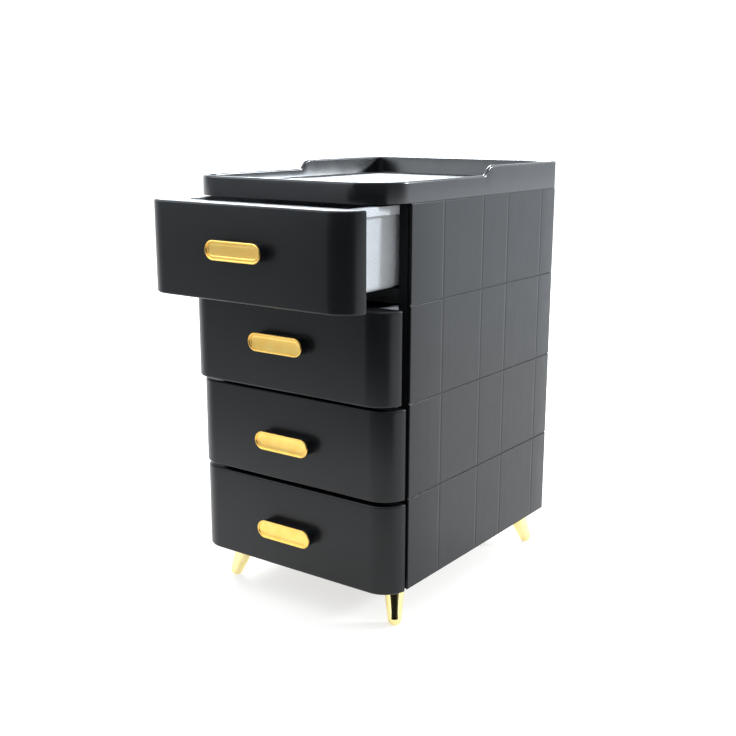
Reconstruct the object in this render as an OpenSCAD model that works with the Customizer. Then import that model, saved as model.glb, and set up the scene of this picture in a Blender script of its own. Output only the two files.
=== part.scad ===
// Desktop drawer tower: four stacked tiers, each with a sliding drawer, a rimmed tray on
// top and four splayed tapered legs. Units are millimetres. X runs to the right, Y to the
// back and Z up. The origin is the middle of the whole outline's base, on the floor.

/* [Case] */
// Outer width of the case
case_w = 180; // [150:1:230]
// Depth from the case's front plane to its back
case_d = 214; // [170:1:260]
// Height of one drawer tier
tier_h = 70; // [62:1:90]
// Thickness of a side wall
side_t = 10; // [8:0.5:14]
// Thickness of a side wall's outer skin
skin_t = 2.6; // [2:0.2:4]
// Thickness of a tier's shelf
shelf_h = 10.4; // [9:0.2:14]
// Thickness of the base under the lowest shelf
base_t = 5; // [4:0.5:7]
// Thickness of a back panel
back_t = 3; // [2:0.5:5]
// Side length of the square that cuts a plank groove
groove_s = 0.5; // [0.3:0.1:1.6]
// Side length of the square that cuts a seam's bevel
bevel_s = 0.7; // [0.3:0.1:1.2]

/* [Legs] */
// Height of the case's underside above the floor
leg_h = 30.5; // [22:0.5:45]
// Radius of a leg at its top
leg_top_r = 8.4; // [6:0.2:10]
// Radius of a leg's rounded tip
leg_tip_r = 5.2; // [3:0.2:6]
// Distance from a leg's top centre to the case's side
leg_in_x = 18; // [14:0.5:30]
// Distance from a leg's top centre to the case's front plane
leg_in_front = 9; // [9:0.5:20]
// Distance from a leg's top centre to the case's back
leg_in_back = 17.5; // [14:0.5:30]
// Outward lean of a leg along X
splay_x = 6.5; // [0:0.5:10]
// Outward lean of a leg along Y
splay_y = 8.5; // [0:0.5:10]

/* [Drawer fronts] */
// Width of a drawer front
front_w = 186; // [150:1:240]
// Height of a drawer front
front_h = 67; // [56:0.5:88]
// Height of a front's lower edge above its tier's underside
front_up = 2; // [0.5:0.5:4]
// Depth of a front from its face to its open back
front_d = 17; // [12:0.5:19]
// Radius of a front's upright corners, seen from above
front_r = 20; // [12:0.5:28]
// Distance of a closed front's face from the case's front plane
front_ahead = 25; // [18:0.5:34]
// Wall thickness of a front
front_t = 2.4; // [1.6:0.2:3.2]
// Rounding of a front's long edges
edge_r = 1.6; // [0.6:0.2:2.2]

/* [Pull-out] */
// How far the lowest drawer stands out
pull_1 = 0; // [0:0.5:120]
// How far the second drawer stands out
pull_2 = 1; // [0:0.5:120]
// How far the third drawer stands out
pull_3 = 6.5; // [0:0.5:120]
// How far the top drawer stands out
pull_4 = 48; // [0:0.5:120]

/* [Drawer tubs] */
// Gap between a tub's rim and the case's inside, on each side
rim_gap = 0.4; // [0.3:0.1:1]
// Overhang of the rim beyond the tub's wall
rim_out = 3.6; // [2:0.2:5]
// Height of the rim's skirt
rim_h = 6.2; // [3:0.2:10]
// Gap between a front's open back and the tub's wall
front_gap = 0.4; // [0.2:0.1:1]
// Wall thickness of a tub
tub_t = 1.8; // [1.2:0.2:2.6]
// Inward lean of each wall from rim to floor
tub_draft = 1; // [0:0.1:2]
// Radius of the tub's upright corners
tub_r = 8; // [5:0.5:14]
// Rounding between the tub's walls and floor
tub_foot_r = 4; // [2.5:0.5:6]
// Gap between a tub's floor and its shelf
slide_gap = 0.4; // [0.3:0.1:1]
// Gap between the tub's rim and the tier above
top_gap = 1.5; // [0.5:0.1:3]
// Gap between a closed tub and the back panel
rear_gap = 1; // [0.5:0.5:40]

/* [Knobs] */
// Length of a knob's cap
knob_w = 49.6; // [36:0.2:70]
// Height of a knob's cap
knob_h = 13.8; // [10:0.2:20]
// Depth of the knob's body between the front and the cap
knob_stand = 7; // [5:0.5:14]
// Thickness of the cap
cap_t = 1.6; // [1:0.1:3]
// Inset of the knob's body inside the cap's outline
stem_in = 0.7; // [0.2:0.1:2]
// Distance of the knobs from the middle of the fronts, up in the two upper tiers, down below
knob_off = 2.7; // [0:0.1:6]
// Distance between a knob's two screws
knob_pitch = 28; // [20:1:36]

/* [Top tray] */
// Width of the tray
tray_w = 178.6; // [150:0.2:230]
// How far the tray reaches in front of the case's front plane
tray_ahead = 33; // [20:0.5:44]
// Radius of the tray's front corners
tray_r = 31; // [14:0.5:44]
// Height of the tray's floor above the case
tray_floor = 7.3; // [5:0.1:10]
// Height of the low front rim above the case
rim_low = 14.5; // [11:0.1:18]
// Height of the high rear rim above the case
rim_high = 21.5; // [20:0.1:28]
// Distance of the rim's step from the case's front plane
step_y = 97.5; // [60:0.5:150]
// Thickness of the tray's rim
tray_t = 3; // [2:0.2:4]
// Radius of the fillets inside the tray's rear corners
tray_fillet = 5; // [2:0.5:10]
// Slope of the rim's step, in degrees
step_a = 48; // [30:1:60]
// Radius of the step's lower bend
dip_r = 6; // [3:0.5:8]
// Radius of the step's upper bend
crown_r = 10; // [4:0.5:12]

/* [Hidden] */
$fn = 64;
tiers = 4;
pull = [pull_1, pull_2, pull_3, pull_4];
inner_w = case_w - 2 * side_t;
// the whole outline, knob of the pulled drawer to case back, is centred on the origin
reach = front_ahead + max(pull) + knob_stand + cap_t;
case_y = (reach - case_d) / 2;
// plank joints of the side walls, as shares of the case's depth
plank_share = [0.194, 0.451, 0.6285, 0.888];
slot_w = 2.2;
slot_in = 1;
slot_d = 1.5;
lip_h = 4.5;
lip_d = 1.5;
rib = 1.6;
tub_w = inner_w - 2 * rim_gap - 2 * rim_out;
tub_z = shelf_h + slide_gap;
tub_h = tier_h - top_gap - tub_z;
tub_d = front_ahead - front_d - front_gap + case_d - back_t - rear_gap - rim_out;
knob_mid = front_up + front_h / 2;
screw_r = 1.6;
black = [0.10, 0.10, 0.11];
pale = [0.90, 0.91, 0.92];
gold = [0.85, 0.66, 0.30];
steel = [0.70, 0.70, 0.72];

// ---- places ----

// the case's front plane, middle and underside
module at_case() {
  translate([0, case_y, leg_h]) children();
}

// the underside of tier n
module at_tier(n) {
  at_case() translate([0, 0, (n - 1) * tier_h]) children();
}

// the face of drawer n, as far out as it stands
module at_drawer(n) {
  at_tier(n) translate([0, -front_ahead - pull[n - 1], 0]) children();
}

// the middle of drawer n's knob, on the drawer's face
module at_knob(n) {
  up = n > 2 ? knob_off : -knob_off;
  at_drawer(n) translate([0, 0, knob_mid + up]) children();
}

// ---- case ----

// plan of the right wall, with its two outer edges rounded
module side_plan() {
  round_r = 1;
  translate([case_w / 2 - side_t, 0]) {
    square([side_t - round_r, case_d]);
    translate([0, round_r]) square([side_t, case_d - 2 * round_r]);
    for (y = [round_r, case_d - round_r]) {
      translate([side_t - round_r, y]) circle(r = round_r);
    }
  }
}

// right wall of one tier: planked outside, ribbed inside
module side_wall() {
  bays = 7;
  jamb = 8;
  pitch = (case_d - 2 * jamb + rib) / bays;
  low = shelf_h + rib;
  row = (tier_h - low - rib) / 2;
  difference() {
    linear_extrude(tier_h) side_plan();
    for (i = [0 : bays - 1]) {
      for (j = [0, 1]) {
        translate([inner_w / 2 - 1, jamb + i * pitch, low + j * row])
          cube([side_t - skin_t + 1, pitch - rib, row - rib]);
      }
    }
    for (s = plank_share) {
      translate([case_w / 2, s * case_d, tier_h / 2]) rotate([0, 0, 45])
        cube([groove_s, groove_s, tier_h + 2], center = true);
    }
    for (z = [0, tier_h]) {
      translate([case_w / 2, case_d / 2, z]) rotate([0, 45, 0])
        cube([bevel_s, case_d + 2, bevel_s], center = true);
    }
    translate([case_w / 2 - slot_in - slot_w, -1, -1]) cube([slot_w, slot_d + 1, tier_h + 2]);
  }
}

module side_right(n) {
  color(black) at_tier(n) side_wall();
}

module side_left(n) {
  color(black) at_tier(n) mirror([1, 0, 0]) side_wall();
}

// grid of pockets that leaves ribs between them
module pockets(w, d, h, nx, ny) {
  px = (w - rib) / nx;
  py = (d - rib) / ny;
  for (i = [0 : nx - 1]) {
    for (j = [0 : ny - 1]) {
      translate([rib - w / 2 + i * px, rib + j * py, 0]) cube([px - rib, py - rib, h]);
    }
  }
}

// floor of one tier: a skin on ribs, with a lip along its front
module shelf(n) {
  low = n == 1 ? base_t : 0;
  skin = 2.2;
  color(black) at_tier(n) difference() {
    translate([-inner_w / 2, 0, low]) cube([inner_w, case_d - back_t, shelf_h - low]);
    translate([-inner_w / 2 - 1, -1, low - 1])
      cube([inner_w + 2, lip_d + 1, shelf_h - lip_h - low + 1]);
    translate([0, lip_d, low - 1])
      pockets(inner_w, case_d - back_t - lip_d, shelf_h - skin - low + 1, 5, 7);
  }
}

// back of one tier: a skin with a raised border inside, bevelled at the seams
module back_panel(n) {
  border = 8;
  color(black) at_tier(n) difference() {
    translate([-inner_w / 2, case_d - back_t, 0]) cube([inner_w, back_t, tier_h]);
    translate([-inner_w / 2 + border, case_d - back_t - 1, shelf_h + border])
      cube([inner_w - 2 * border, back_t / 2 + 0.4, tier_h - shelf_h - 2 * border]);
    for (z = [0, tier_h]) {
      translate([0, case_d, z]) rotate([45, 0, 0])
        cube([inner_w + 2, bevel_s, bevel_s], center = true);
    }
  }
}

// the four leg places: [side, end, x, y]
leg_x = case_w / 2 - leg_in_x;
leg_at = [[-1, -1, -leg_x, leg_in_front], [1, -1, leg_x, leg_in_front],
  [-1, 1, -leg_x, case_d - leg_in_back], [1, 1, leg_x, case_d - leg_in_back]];

// base: ribbed tray with a boss over every leg
module base_plate() {
  skin = 2.2;
  boss_r = 7;
  depth = case_d - back_t - lip_d;
  color(black) at_case() difference() {
    union() {
      difference() {
        translate([-inner_w / 2, lip_d, 0]) cube([inner_w, depth, base_t]);
        translate([0, lip_d, skin]) pockets(inner_w, depth, base_t, 5, 7);
      }
      for (p = leg_at) {
        translate([p[2], p[3], 0]) cylinder(h = base_t, r = boss_r);
      }
    }
    for (p = leg_at) {
      translate([p[2], p[3], -1]) cylinder(h = base_t + 2, r = screw_r + 0.5);
      translate([p[2], p[3], base_t - 2.4]) cylinder(h = 3, r = 3.6);
    }
  }
}

// tapered leg that leans outward, cut flat under the case and at the floor
module leg(i) {
  p = leg_at[i];
  drop = leg_h - leg_tip_r + 0.5;
  lean_x = p[0] * splay_x;
  lean_y = p[1] * splay_y;
  len = sqrt(lean_x * lean_x + lean_y * lean_y + drop * drop);
  tilt = acos(drop / len);
  turn = atan2(-lean_y, -lean_x);
  far = 6;
  end_r = leg_tip_r + (leg_top_r - leg_tip_r) * (len + far) / len;
  color(gold) at_case() difference() {
    intersection() {
      translate([p[2] + lean_x, p[3] + lean_y, -drop]) rotate([0, tilt, turn])
        rotate([0, 0, 90]) rotate_extrude() {
          polygon([[0, 0], [leg_tip_r, 0], [end_r, len + far], [0, len + far]]);
          intersection() {
            circle(r = leg_tip_r);
            translate([0, -leg_tip_r]) square([leg_tip_r, leg_tip_r]);
          }
        }
      translate([p[2] - 30, p[3] - 30, -leg_h]) cube([60, 60, leg_h]);
    }
    translate([p[2], p[3], -13]) cylinder(h = 14, r = screw_r);
  }
}

// the four pan-head screws that hold the legs
module leg_screws() {
  color(steel) at_case() for (p = leg_at) {
    translate([p[2], p[3], -12]) cylinder(h = 12 + base_t - 2.4, r = screw_r);
    translate([p[2], p[3], base_t - 2.4]) cylinder(h = 2, r = 3.2);
  }
}

// ---- top tray ----

// outline of the tray less an inset, seen from above
module tray_plan(inset) {
  hw = tray_w / 2 - inset;
  y0 = -tray_ahead + inset;
  y1 = case_d - inset;
  fr = tray_r - inset;
  translate([-hw + fr, y0]) square([2 * hw - 2 * fr, fr]);
  translate([-hw, y0 + fr]) square([2 * hw, y1 - y0 - fr]);
  for (s = [-1, 1]) {
    translate([s * (hw - fr), y0 + fr]) circle(r = fr);
  }
}

// the rim's step: a dip, a slant and a crown along the rim's centre line
bead_r = tray_t / 2;
low_z = rim_low - bead_r;
high_z = rim_high - bead_r;
rise = high_z - low_z - (dip_r + crown_r) * (1 - cos(step_a));
slant = rise / sin(step_a);
mid_1 = [step_y + dip_r * sin(step_a), low_z + dip_r * (1 - cos(step_a))];
mid_2 = mid_1 + slant * [cos(step_a), sin(step_a)];
step_end = mid_2[0] + crown_r * sin(step_a);

// section of a wall h high with a round top, its outer face at x = 0
module wall_section(h) {
  translate([-tray_t, 0]) square([tray_t, h - bead_r]);
  translate([-bead_r, h - bead_r]) circle(r = bead_r);
}

// section of a round-topped strip, its round edge toward +x at x = r or toward -x
module strip_section(r, side) {
  translate([r, 0]) circle(r = bead_r);
  translate([side > 0 ? r - bead_r : r, -bead_r]) square([bead_r, tray_t]);
}

// stepped part of the right wall
module step_wall() {
  x = tray_w / 2 - bead_r;
  translate([x - bead_r, 0, 0]) rotate([90, 0, 90]) linear_extrude(tray_t)
    polygon([[step_y, 0], [step_y, low_z], mid_1, mid_2, [step_end, high_z], [step_end, 0]]);
  translate([x, step_y, low_z + dip_r]) rotate([90, 0, 90]) rotate([0, 0, -90])
    rotate_extrude(angle = step_a) strip_section(dip_r, -1);
  translate([x, mid_1[0], mid_1[1]]) rotate([step_a, 0, 0]) rotate([-90, 0, 0])
    linear_extrude(slant) rotate([0, 0, -90]) strip_section(0, 1);
  translate([x, step_end, high_z - crown_r]) rotate([90, 0, 90]) rotate([0, 0, 90])
    rotate_extrude(angle = step_a) strip_section(crown_r, 1);
}

// right half of the tray's wall: front, corner, low side, step, high side, back, inner fillet
module half_wall() {
  hw = tray_w / 2;
  fy = -tray_ahead + tray_r;
  corner = tray_t + tray_fillet;
  translate([0, -tray_ahead, 0]) rotate([90, 0, 90]) linear_extrude(hw - tray_r)
    mirror([1, 0]) wall_section(rim_low);
  translate([hw - tray_r, fy, 0]) rotate([0, 0, -90]) rotate_extrude(angle = 90)
    translate([tray_r, 0]) wall_section(rim_low);
  translate([hw, step_y, 0]) rotate([90, 0, 0]) linear_extrude(step_y - fy) wall_section(rim_low);
  step_wall();
  translate([hw, case_d, 0]) rotate([90, 0, 0]) linear_extrude(case_d - step_end)
    wall_section(rim_high);
  translate([0, case_d, 0]) rotate([90, 0, 90]) linear_extrude(hw) wall_section(rim_high);
  translate([hw - corner, case_d - corner, tray_floor - 1]) linear_extrude(high_z - tray_floor + 1)
    difference() {
      square([tray_fillet + 1, tray_fillet + 1]);
      circle(r = tray_fillet + 0.2);
    }
}

// tray: a round-topped stepped wall round a floor that stands on ribs
module top_tray() {
  skin = 2.4;
  ribs_y = [1, 45, 90, 135, 180];
  under = tray_floor - skin + 0.2;
  color(black) at_case() translate([0, 0, tiers * tier_h]) {
    half_wall();
    mirror([1, 0, 0]) half_wall();
    translate([0, 0, tray_floor - skin]) linear_extrude(skin) tray_plan(bead_r);
    for (y = ribs_y) {
      translate([bead_r - tray_w / 2, y, 0]) cube([tray_w - tray_t, rib, under]);
    }
    for (x = [-45, 0, 45]) {
      translate([x - rib / 2, ribs_y[0], 0]) cube([rib, case_d - ribs_y[0] - bead_r, under]);
    }
  }
}

// ---- drawers ----

// front's block with rounded upright corners and long edges, less an inset on every side
module front_block(inset, round_r, depth) {
  r = front_r - inset;
  h = front_h - 2 * inset;
  cx = front_w / 2 - front_r;
  intersection() {
    union() {
      translate([-cx, front_r, 0]) rotate([0, 0, 180]) rotate_extrude(angle = 90)
        edge_section(r, h, round_r);
      translate([cx, front_r, 0]) rotate([0, 0, -90]) rotate_extrude(angle = 90)
        edge_section(r, h, round_r);
      translate([-cx, front_r, 0]) rotate([90, 0, 90]) linear_extrude(2 * cx)
        mirror([1, 0]) edge_section(r, h, round_r);
    }
    translate([-front_w, -1, -1]) cube([2 * front_w, depth + 1, h + 2]);
  }
}

// section from the corner's axis to the face, its two outer corners rounded
module edge_section(r, h, round_r) {
  square([r - round_r, h]);
  translate([0, round_r]) square([r, h - 2 * round_r]);
  for (z = [round_r, h - round_r]) {
    translate([r - round_r, z]) circle(r = round_r);
  }
}

// drawer front: shell whose open back is divided into cells by full-depth ribs
module drawer_front(n) {
  hz = front_h / 2 + (n > 2 ? knob_off : -knob_off);
  cells = 6;
  cell_w = (front_w - 2 * front_t + rib) / cells;
  cell_h = (front_h - 2 * front_t + rib) / 2;
  color(black) at_drawer(n) translate([0, 0, front_up]) difference() {
    union() {
      difference() {
        front_block(0, edge_r, front_d);
        intersection() {
          translate([0, 0, front_t]) front_block(front_t, 0.4, front_d + 5);
          for (i = [0 : cells - 1]) {
            for (j = [0, 1]) {
              translate([front_t - front_w / 2 + i * cell_w, 0, front_t + j * cell_h])
                cube([cell_w - rib, front_d + 2, cell_h - rib]);
            }
          }
        }
      }
      for (s = [-1, 1]) {
        translate([s * knob_pitch / 2, 1, hz]) rotate([-90, 0, 0]) cylinder(h = front_d - 1, r = 4);
      }
    }
    for (s = [-1, 1]) {
      translate([s * knob_pitch / 2, -1, hz]) rotate([-90, 0, 0])
        cylinder(h = front_d + 2, r = screw_r + 0.3);
    }
  }
}

// section of the tub's wall from its floor to its rim, outer face of the wall's top at x = 0
module tub_section() {
  lip = 1.2;
  foot = -tub_draft - tub_foot_r;
  difference() {
    union() {
      polygon([[-tub_r, 0], [foot, 0], [-tub_draft, tub_foot_r], [0, tub_h], [-tub_r, tub_h]]);
      intersection() {
        translate([foot, tub_foot_r]) circle(r = tub_foot_r);
        translate([foot, 0]) square([tub_foot_r, tub_foot_r]);
      }
    }
    polygon([[-tub_r - 1, tub_t], [foot, tub_t], [-tub_draft - tub_t, tub_foot_r],
      [-tub_t, tub_h], [-tub_t, tub_h + 1], [-tub_r - 1, tub_h + 1]]);
    translate([foot, tub_foot_r]) circle(r = tub_foot_r - tub_t);
  }
  translate([-tub_t / 2, tub_h - lip]) square([rim_out + tub_t / 2, lip]);
  translate([rim_out - lip, tub_h - rim_h]) square([lip, rim_h]);
}

// section swept round the tub: four corners and four straight sides
module tub_sweep() {
  cx = tub_w / 2 - tub_r;
  for (i = [0 : 3]) {
    sx = i == 0 || i == 3 ? 1 : -1;
    sy = i < 2 ? 1 : -1;
    translate([sx * cx, sy > 0 ? tub_d - tub_r : tub_r, 0]) rotate([0, 0, 90 * i])
      rotate_extrude(angle = 90) translate([tub_r, 0]) tub_section();
  }
  for (s = [0, 1]) {
    mirror([s, 0, 0]) translate([tub_w / 2, tub_d - tub_r, 0]) rotate([90, 0, 0])
      linear_extrude(tub_d - 2 * tub_r) tub_section();
  }
  translate([-cx, tub_d, 0]) rotate([90, 0, 90]) linear_extrude(2 * cx) tub_section();
  translate([-cx, 0, 0]) rotate([90, 0, 90]) linear_extrude(2 * cx) mirror([1, 0]) tub_section();
}

// tub: leaning walls, a rounded foot, a floor and a turned-down rim on three sides
module drawer_tub(n) {
  hz = knob_mid + (n > 2 ? knob_off : -knob_off) - tub_z;
  color(pale) at_drawer(n) translate([0, front_d, tub_z]) difference() {
    translate([0, front_gap, 0]) {
      tub_sweep();
      translate([tub_r - tub_w / 2, tub_r, 0]) cube([tub_w - 2 * tub_r, tub_d - 2 * tub_r, tub_t]);
    }
    translate([-case_w, -20, -1]) cube([2 * case_w, 20, tub_h + 2]);
    for (s = [-1, 1]) {
      translate([s * knob_pitch / 2, -1, hz]) rotate([-90, 0, 0])
        cylinder(h = tub_t + 6, r = screw_r + 0.3);
    }
  }
}

// upright stadium outline, w long and h high
module stadium(w, h) {
  translate([-(w - h) / 2, -h / 2]) square([w - h, h]);
  for (s = [-1, 1]) {
    translate([s * (w - h) / 2, 0]) circle(r = h / 2);
  }
}

// raised bead along a stadium's outline
module stadium_bead(w, h, b) {
  for (s = [-1, 1]) {
    translate([0, s * h / 2, 0]) rotate([0, 90, 0]) cylinder(h = w - h, r = b, center = true);
    translate([s * (w - h) / 2, 0, 0]) rotate([0, 0, -90 * s])
      rotate_extrude(angle = 180) translate([h / 2, 0]) circle(r = b);
  }
}

// knob's body: a stadium block that stands the cap off the front
module knob_body(n) {
  color(black) at_knob(n) rotate([90, 0, 0]) difference() {
    linear_extrude(knob_stand) stadium(knob_w - 2 * stem_in, knob_h - 2 * stem_in);
    for (s = [-1, 1]) {
      translate([s * knob_pitch / 2, 0, -1]) cylinder(h = knob_stand - 1, r = screw_r);
    }
  }
}

// knob's cap: plate with a rounded raised border and a field sunk in two steps
module knob_cap(n) {
  b = 0.6;
  top = knob_stand + cap_t - b;
  color(gold) at_knob(n) rotate([90, 0, 0]) {
    difference() {
      translate([0, 0, knob_stand]) linear_extrude(cap_t - b) stadium(knob_w, knob_h);
      translate([0, 0, top - 0.3]) linear_extrude(1) stadium(knob_w - 4 * b, knob_h - 4 * b);
      translate([0, 0, top - 0.5]) linear_extrude(1) stadium(knob_w - 6.4, knob_h - 6.4);
    }
    translate([0, 0, top]) stadium_bead(knob_w - 2 * b, knob_h - 2 * b, b);
  }
}

// knob's two pan-head screws, put in from inside the tub, seated on its leaning wall
module knob_screws(n) {
  head_r = 3;
  hz = knob_mid + (n > 2 ? knob_off : -knob_off) - tub_z;
  lean = tub_draft * (tub_h - hz + head_r) / (tub_h - tub_foot_r);
  head_y = front_d + front_gap + tub_t + lean;
  color(steel) at_knob(n) for (s = [-1, 1]) {
    translate([s * knob_pitch / 2, 2 - knob_stand, 0]) rotate([-90, 0, 0])
      cylinder(h = head_y + knob_stand - 2, r = screw_r);
    translate([s * knob_pitch / 2, head_y, 0]) rotate([-90, 0, 0]) cylinder(h = 1.8, r = head_r);
  }
}

// ---- the nodes ----

base_plate();
leg(0);  // leg_front_left
leg(1);  // leg_front_right
leg(2);  // leg_rear_left
leg(3);  // leg_rear_right
leg_screws();
top_tray();
shelf(1);  // shelf_1
shelf(2);  // shelf_2
shelf(3);  // shelf_3
shelf(4);  // shelf_4
side_left(1);  // side_left_1
side_left(2);  // side_left_2
side_left(3);  // side_left_3
side_left(4);  // side_left_4
side_right(1);  // side_right_1
side_right(2);  // side_right_2
side_right(3);  // side_right_3
side_right(4);  // side_right_4
back_panel(1);  // back_panel_1
back_panel(2);  // back_panel_2
back_panel(3);  // back_panel_3
back_panel(4);  // back_panel_4
drawer_front(1);  // drawer_front_1
drawer_front(2);  // drawer_front_2
drawer_front(3);  // drawer_front_3
drawer_front(4);  // drawer_front_4
drawer_tub(1);  // drawer_tub_1
drawer_tub(2);  // drawer_tub_2
drawer_tub(3);  // drawer_tub_3
drawer_tub(4);  // drawer_tub_4
knob_body(1);  // knob_body_1
knob_body(2);  // knob_body_2
knob_body(3);  // knob_body_3
knob_body(4);  // knob_body_4
knob_cap(1);  // knob_cap_1
knob_cap(2);  // knob_cap_2
knob_cap(3);  // knob_cap_3
knob_cap(4);  // knob_cap_4
knob_screws(1);  // knob_screws_1
knob_screws(2);  // knob_screws_2
knob_screws(3);  // knob_screws_3
knob_screws(4);  // knob_screws_4
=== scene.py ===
"""Looks of the desktop mini drawers: a black moulded tower of four drawers with white
tubs, gold capped knobs, gold legs and a rimmed tray, on a white floor in soft light."""

import math

import bmesh
import bpy
from mathutils import Matrix, Vector


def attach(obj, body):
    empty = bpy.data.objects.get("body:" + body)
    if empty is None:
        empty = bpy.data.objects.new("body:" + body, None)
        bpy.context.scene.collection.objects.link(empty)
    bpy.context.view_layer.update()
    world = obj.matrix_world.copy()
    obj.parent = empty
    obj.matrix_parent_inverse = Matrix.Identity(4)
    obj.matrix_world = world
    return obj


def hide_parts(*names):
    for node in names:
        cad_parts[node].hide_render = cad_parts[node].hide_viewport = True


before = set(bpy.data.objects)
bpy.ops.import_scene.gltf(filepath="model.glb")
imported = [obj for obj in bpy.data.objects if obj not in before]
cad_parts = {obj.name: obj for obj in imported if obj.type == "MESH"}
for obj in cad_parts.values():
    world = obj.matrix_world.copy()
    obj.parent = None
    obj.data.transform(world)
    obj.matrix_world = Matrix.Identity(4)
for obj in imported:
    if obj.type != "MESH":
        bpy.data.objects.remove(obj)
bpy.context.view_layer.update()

MM = 0.001

# ---- sizes, in millimetres and degrees, as in the CAD part --------------------------------

# case: equal tiers on a base; the side walls' front edges lie in the front plane
CASE_W, CASE_D = 180.0, 214.0
TIERS, TIER_H = 4, 70.0
FRONT_PLANE = -66.2
LEG_H, BASE_T = 30.5, 5.0

# side walls: a skin with pockets between ribs inside, and a slot behind the front edge
SIDE_T, SKIN_T, RIB = 10.0, 2.6, 1.6
BAYS, JAMB, SHELF_H = 7, 8.0, 10.4
WALL_EDGE_R = 1.0
SLOT_IN, SLOT_W, SLOT_D = 1.0, 2.2, 1.5
# grooves between their planks, at these shares of the depth, and seams between the tiers
PLANKS = (0.194, 0.451, 0.6285, 0.888)
GROOVE_D, GROOVE_HALF = 0.16, 1.6
SEAM_D, SEAM_H, SEAM_R, SEAM_LEVEL = 0.9, 0.65, 0.3, 0.4

# drawers: how far each stands open, from the lowest up
PULL = (0.0, 1.0, 6.5, 48.0)
# drawer fronts: a shell ahead of the front plane, bent round its upright corners
FRONT_W, FRONT_H, FRONT_D, FRONT_T = 186.0, 67.0, 17.0, 2.4
FRONT_UP, FRONT_AHEAD = 2.0, 25.0
FRONT_R, EDGE_R, FRONT_CELLS = 20.0, 1.6, 6
# tubs: their walls lean outwards by the draft, up to a turned-down rim
TUB_W, TUB_D, TUB_H, TUB_T = 152.0, 214.0, 57.7, 1.8
TUB_Z, FRONT_GAP = 10.8, 0.4
TUB_R, TUB_FOOT_R, TUB_DRAFT = 8.0, 4.0, 1.0
RIM_OUT, RIM_H, RIM_LIP = 3.6, 6.2, 1.2
RIM_R, RIM_BEVEL = 0.8, 0.3
# knobs: a cap on a stand-off, a little above or below the front's middle
KNOB_W, KNOB_H, KNOB_STAND = 49.6, 13.8, 7.0
KNOB_OFF, KNOB_PITCH = 2.7, 28.0
CAP_T, CAP_LIP_R = 1.6, 0.6

# tray: its rim climbs from low to high in a dip, a slant and a crown
TRAY_W, TRAY_AHEAD = 178.6, 33.0
TRAY_R, TRAY_FILLET = 31.0, 5.0
TRAY_T, TRAY_SKIN, TRAY_FLOOR = 3.0, 2.4, 7.3
RIM_LOW, RIM_HIGH = 14.5, 21.5
STEP_Y, STEP_A, DIP_R, CROWN_R = 97.5, 48.0, 6.0, 10.0
# the ribs under it: where the first one is, their step and how many there are
TRAY_RIBS_ACROSS = (1.0, 44.0, 5)
TRAY_RIBS_ALONG = (-45.0, 45.0, 3)

# legs: a cone on a ball tip, splayed both ways, its tip cut flat by the floor
LEG_TOP_R, LEG_TIP_R, LEG_TIP_CUT = 8.4, 5.2, 0.5
SPLAY_X, SPLAY_Y = 6.5, 8.5
LEG_X, LEG_FRONT_Y, LEG_REAR_Y = 72.0, 9.0, 196.5
LEG_SEAT_DOWN = 2.4

SCREW_R, SCREW_BEVEL, RECESS_D = 1.6, 0.3, 0.9


def tier_z(n):
    """Underside of tier n above the floor."""
    return LEG_H + (n - 1) * TIER_H


def face_y(n):
    """Face of drawer n as it stands."""
    return FRONT_PLANE - FRONT_AHEAD - PULL[n - 1]


def knob_z(n):
    """Middle of drawer n's knob above the floor."""
    return tier_z(n) + FRONT_UP + FRONT_H / 2 + (KNOB_OFF if n > 2 else -KNOB_OFF)


TRAY_Z = tier_z(TIERS + 1)


# ---- materials ----------------------------------------------------------------------------

def linear(hex_code):
    """An sRGB hex colour as linear red, green, blue and alpha."""
    parts = [int(hex_code[i:i + 2], 16) / 255 for i in (1, 3, 5)]
    return [c / 12.92 if c <= 0.04045 else ((c + 0.055) / 1.055) ** 2.4 for c in parts] + [1.0]


def add(tree, kind, settings=None, **links):
    """A node of that kind. Its sockets take values or outputs, by name or, as i0 and so on, by number."""
    node = tree.nodes.new(kind)
    for key, value in (settings or {}).items():
        setattr(node, key, value)
    for key, value in links.items():
        by_number = key[0] == "i" and key[1:].isdigit()
        socket = node.inputs[int(key[1:])] if by_number else node.inputs[key.replace("_", " ")]
        if isinstance(value, bpy.types.NodeSocket):
            tree.links.new(value, socket)
        else:
            socket.default_value = value
    return node


def blank(name, **fixed):
    """An empty material and its Principled shader with its fixed values, joined to its output."""
    material = bpy.data.materials.new(name)
    material.use_nodes = True
    tree = material.node_tree
    tree.nodes.clear()
    shader = add(tree, "ShaderNodeBsdfPrincipled", **fixed)
    add(tree, "ShaderNodeOutputMaterial", Surface=shader.outputs[0])
    return material, tree, shader


# most of a noise's values lie between these
NOISE_LOW, NOISE_HIGH = 0.3, 0.7


def clouds(tree, place, size_mm, low, high, detail=3.0):
    """Soft noise of that size, stretched to run mostly from low to high."""
    noise = add(tree, "ShaderNodeTexNoise", Vector=place, Scale=1 / (size_mm * MM), Detail=detail)
    return add(tree, "ShaderNodeMapRange", {"clamp": False}, Value=noise.outputs["Fac"],
               From_Min=NOISE_LOW, From_Max=NOISE_HIGH, To_Min=low, To_Max=high).outputs["Result"]


def tinted(tree, place, size_mm, dark, light):
    """A colour that drifts between two near shades."""
    return add(tree, "ShaderNodeMix", {"data_type": "RGBA"}, i0=clouds(tree, place, size_mm, 0.0, 1.0),
               i6=linear(dark), i7=linear(light)).outputs[2]


# how wide the soft changes are in a moulding's dye and sheen, and in a plating's tint, in millimetres
DYE_CLOUD_MM, SHEEN_CLOUD_MM, GOLD_CLOUD_MM, ZINC_CLOUD_MM = 38, 14, 9, 2


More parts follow.
